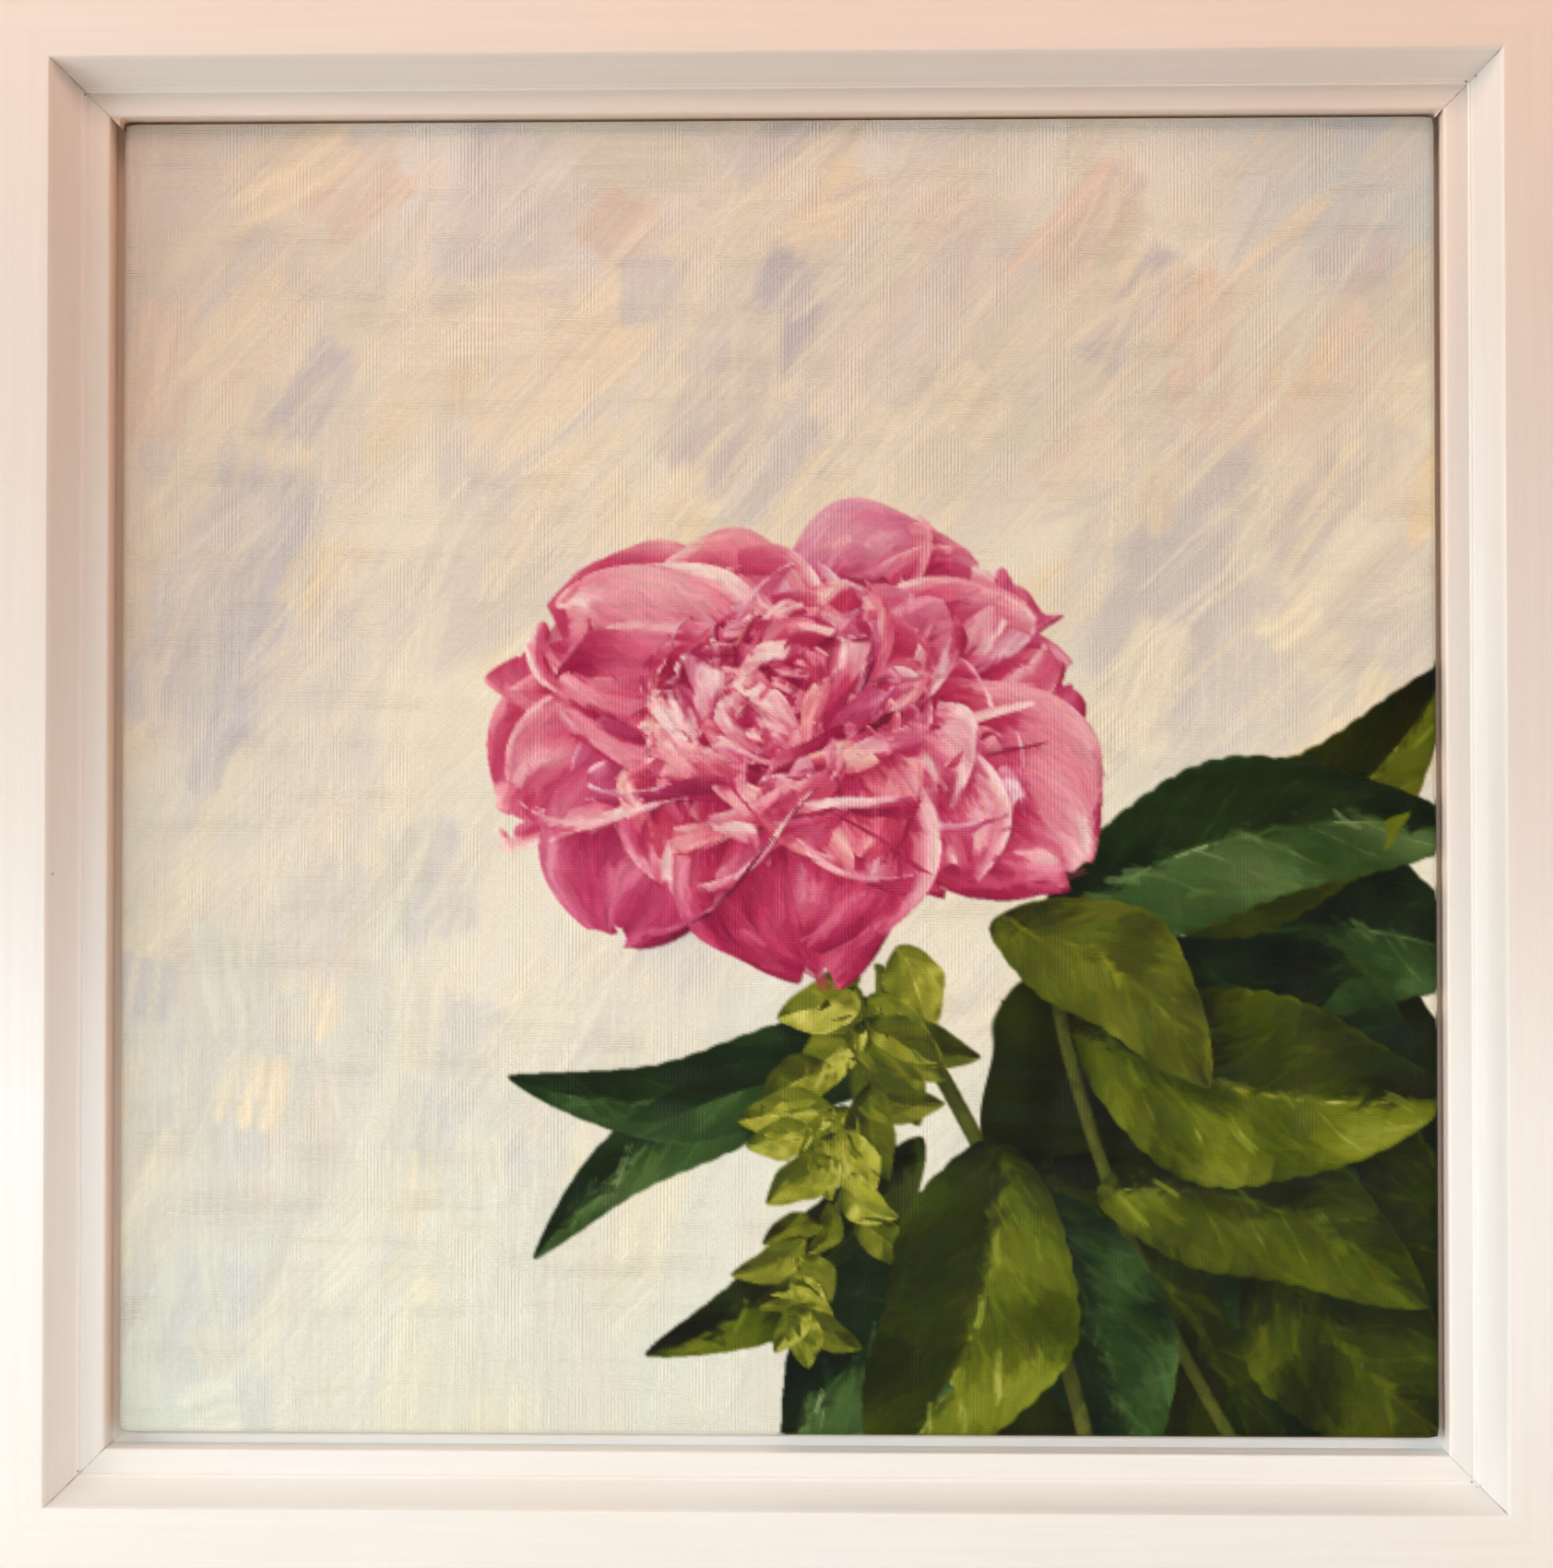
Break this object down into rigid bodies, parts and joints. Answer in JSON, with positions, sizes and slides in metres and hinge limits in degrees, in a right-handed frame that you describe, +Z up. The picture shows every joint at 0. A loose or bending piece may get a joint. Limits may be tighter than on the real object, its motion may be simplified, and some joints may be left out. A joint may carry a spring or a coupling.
{
  "type": "framed canvas painting",
  "caption": "Square stretched canvas with a flower study, floating in a white painted mitred wooden frame with a coved inner edge and a hanger on its back.",
  "frame": {"origin": "the point on the wall where the wall nail carries the sawtooth hanger, at the back of the top rail", "axes": "+X to the picture's right, +Y from the picture's face back to the wall, +Z up; the picture faces -Y"},
  "size_m": [0.39, 0.041, 0.39],
  "materials": {
    "white_painted_wood": "brushed warm white satin paint over primed wood, bare at the back",
    "painted_canvas": "woven cotton under brushed oil paint, raw at the back",
    "stretcher_pine": "planed unfinished pine",
    "key_beech": "sawn unfinished beech",
    "nail_steel": "plain steel",
    "staple_steel": "galvanised wire",
    "zinc_screw": "bright zinc plate",
    "hanger_brass": "brass plated pressed steel",
    "bumper_rubber": "matt moulded rubber"
  },
  "bodies": {
    "root": {"canvas": "painted_canvas", "frame_rail_top": "white_painted_wood", "frame_rail_right": "white_painted_wood", "frame_rail_bottom": "white_painted_wood", "frame_rail_left": "white_painted_wood", "stretcher_bar_top": "stretcher_pine", "stretcher_bar_right": "stretcher_pine", "stretcher_bar_bottom": "stretcher_pine", "stretcher_bar_left": "stretcher_pine", "corner_key_top_right_a": "key_beech", "corner_key_top_right_b": "key_beech", "corner_key_bottom_right_a": "key_beech", "corner_key_bottom_right_b": "key_beech", "corner_key_bottom_left_a": "key_beech", "corner_key_bottom_left_b": "key_beech", "corner_key_top_left_a": "key_beech", "corner_key_top_left_b": "key_beech", "corner_nail_top_right_inner": "nail_steel", "corner_nail_top_right_outer": "nail_steel", "corner_nail_bottom_right_inner": "nail_steel", "corner_nail_bottom_right_outer": "nail_steel", "corner_nail_bottom_left_inner": "nail_steel", "corner_nail_bottom_left_outer": "nail_steel", "corner_nail_top_left_inner": "nail_steel", "corner_nail_top_left_outer": "nail_steel", "staple_top_1": "staple_steel", "staple_top_2": "staple_steel", "staple_top_3": "staple_steel", "staple_top_4": "staple_steel", "staple_right_1": "staple_steel", "staple_right_2": "staple_steel", "staple_right_3": "staple_steel", "staple_right_4": "staple_steel", "staple_bottom_1": "staple_steel", "staple_bottom_2": "staple_steel", "staple_bottom_3": "staple_steel", "staple_bottom_4": "staple_steel", "staple_left_1": "staple_steel", "staple_left_2": "staple_steel", "staple_left_3": "staple_steel", "staple_left_4": "staple_steel", "canvas_screw_top_1": "zinc_screw", "canvas_screw_top_2": "zinc_screw", "canvas_screw_right_1": "zinc_screw", "canvas_screw_right_2": "zinc_screw", "canvas_screw_bottom_1": "zinc_screw", "canvas_screw_bottom_2": "zinc_screw", "canvas_screw_left_1": "zinc_screw", "canvas_screw_left_2": "zinc_screw", "sawtooth_hanger": "hanger_brass", "hanger_nail_left": "nail_steel", "wall_bumper_left": "bumper_rubber", "hanger_nail_right": "nail_steel", "wall_bumper_right": "bumper_rubber"}
  },
  "joints": []
}
